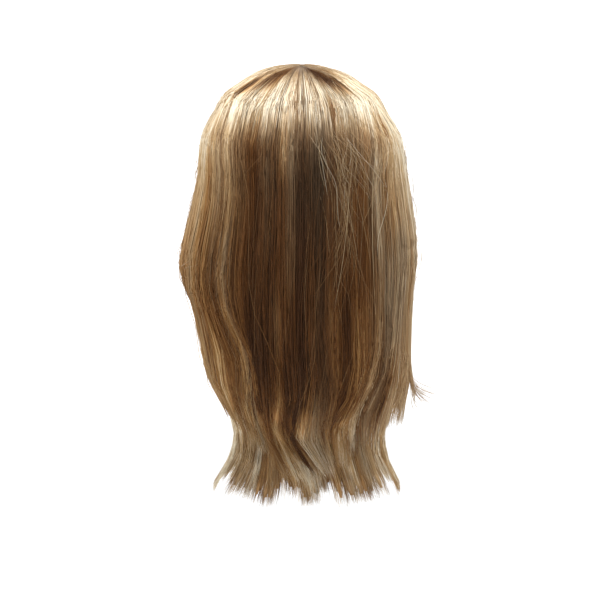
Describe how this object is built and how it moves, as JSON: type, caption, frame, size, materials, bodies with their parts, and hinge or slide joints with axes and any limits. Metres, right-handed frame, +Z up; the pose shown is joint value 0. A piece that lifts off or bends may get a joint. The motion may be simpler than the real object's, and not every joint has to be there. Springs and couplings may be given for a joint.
{
  "type": "wig",
  "caption": "Long straight layered wig: a hollow net cap carries a fringe and rows of hanging hair that part in front and reach past the shoulders.",
  "frame": {"origin": "the inside of the cap's top, where the crown of the wearer's head meets it", "axes": "+Z up, the wearer's face towards -Y, the wearer's left towards +X"},
  "size_m": [0.2272, 0.2275, 0.404],
  "materials": {
    "net": "matte knitted net",
    "elastic": "matte woven elastic",
    "straw_hair": "silky straight fibre, straw blond",
    "golden_hair": "silky straight fibre, golden blond",
    "streaked_hair": "silky straight fibre, dark blond with pale streaks"
  },
  "bodies": {
    "root": {"cap": "net", "edge_band": "elastic", "fringe": "straw_hair", "lower_row": "golden_hair", "upper_row": "straw_hair", "crown_hair": "streaked_hair"}
  },
  "joints": []
}
